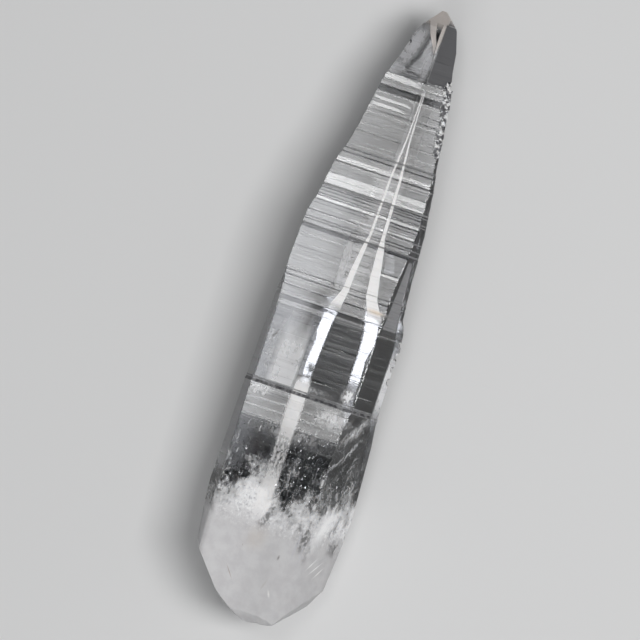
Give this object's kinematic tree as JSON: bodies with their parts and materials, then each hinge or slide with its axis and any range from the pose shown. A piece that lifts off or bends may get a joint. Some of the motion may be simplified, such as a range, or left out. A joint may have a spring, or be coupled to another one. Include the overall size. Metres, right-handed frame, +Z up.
{
  "type": "lemurian quartz point",
  "caption": "Clear quartz crystal point with stepped growth ledges, a slanting tip and a milky broken base, lying on its flat back face.",
  "frame": {"origin": "middle of the crystal's outline, on the surface that it lies on", "axes": "+Y along the crystal towards its tip, +Z up out of the broad striated front face, +X to the right seen from above"},
  "size_m": [0.0272, 0.12, 0.0196],
  "materials": {
    "clear_quartz": "clear polished crystal faces with fine growth lines across them, milky white towards the broken base"
  },
  "bodies": {
    "root": {"quartz_point": "clear_quartz"}
  },
  "joints": []
}
